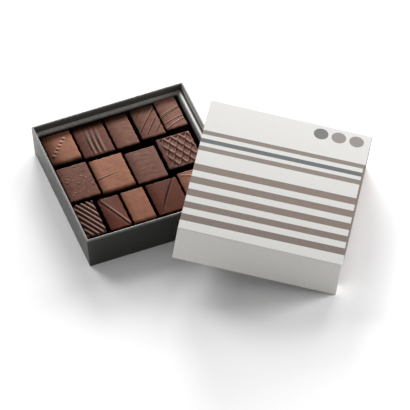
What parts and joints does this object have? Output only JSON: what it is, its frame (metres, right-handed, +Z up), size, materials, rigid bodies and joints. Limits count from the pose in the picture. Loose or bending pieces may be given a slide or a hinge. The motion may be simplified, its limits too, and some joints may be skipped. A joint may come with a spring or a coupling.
{
  "type": "box of chocolate pralines",
  "caption": "Open square gift box of assorted chocolate pralines in rows in an inner tray, with its white striped lid leaning on one corner.",
  "frame": {"origin": "middle of the whole object's outline on the table, on the base's underside", "axes": "+Z up, +X along the base's width, +Y from the base's front to its back"},
  "size_m": [0.2482, 0.2564, 0.0633],
  "materials": {
    "base_card": "satin anthracite paper over board",
    "inner_card": "smooth dark card with a slight sheen",
    "chocolate_milk": "satin milk chocolate",
    "chocolate_brown": "satin mid-brown chocolate",
    "chocolate_dark": "satin dark chocolate",
    "lid_card": "matt warm white paper over board, striped on top"
  },
  "bodies": {
    "root": {"base_tray": "base_card", "inner_tray": "inner_card", "praline_beaded": "chocolate_milk", "praline_ribbed": "chocolate_dark", "praline_plain_brown": "chocolate_brown", "praline_scored": "chocolate_brown", "praline_threaded": "chocolate_brown", "praline_grained": "chocolate_brown", "praline_creased": "chocolate_milk", "praline_smooth": "chocolate_brown", "praline_latticed": "chocolate_brown", "praline_corrugated": "chocolate_dark", "praline_folded": "chocolate_dark", "praline_plain_milk": "chocolate_milk", "praline_grooved": "chocolate_dark", "praline_swirled": "chocolate_milk", "lid": "lid_card"}
  },
  "joints": []
}
